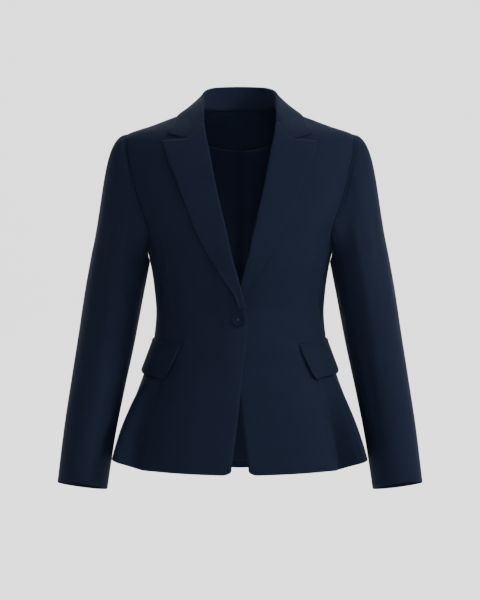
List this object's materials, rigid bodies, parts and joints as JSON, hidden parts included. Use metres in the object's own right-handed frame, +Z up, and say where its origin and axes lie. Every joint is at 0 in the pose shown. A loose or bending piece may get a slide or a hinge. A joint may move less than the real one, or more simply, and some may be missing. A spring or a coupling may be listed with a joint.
{
  "type": "peplum jacket",
  "caption": "Tailored peplum jacket with peak lapels, slanted pocket flaps, long set-in sleeves and a single-button front, filled out as if worn.",
  "frame": {"origin": "base of the neck on the centre line, level with the neck seam at the sides", "axes": "+Z up, -Y to the wearer's front, +X to the wearer's left"},
  "size_m": [0.613, 0.2949, 0.6882],
  "materials": {
    "navy_wool": "matt wool",
    "navy_lining": "satin lining",
    "navy_button": "semi-matt"
  },
  "bodies": {
    "root": {"back_left": "navy_wool", "back_lining": "navy_lining", "back_neck_facing": "navy_wool", "back_right": "navy_wool", "collar": "navy_wool", "front_left": "navy_wool", "front_right": "navy_wool", "lapel_left": "navy_wool", "lapel_right": "navy_wool", "pocket_flap_left": "navy_wool", "pocket_flap_right": "navy_wool", "pocket_welt_left": "navy_wool", "pocket_welt_right": "navy_wool", "side_back_left": "navy_wool", "side_back_right": "navy_wool", "side_front_left": "navy_wool", "side_front_right": "navy_wool", "under_sleeve_left": "navy_wool", "under_sleeve_right": "navy_wool", "upper_sleeve_left": "navy_wool", "upper_sleeve_right": "navy_wool", "button": "navy_button"}
  },
  "joints": []
}
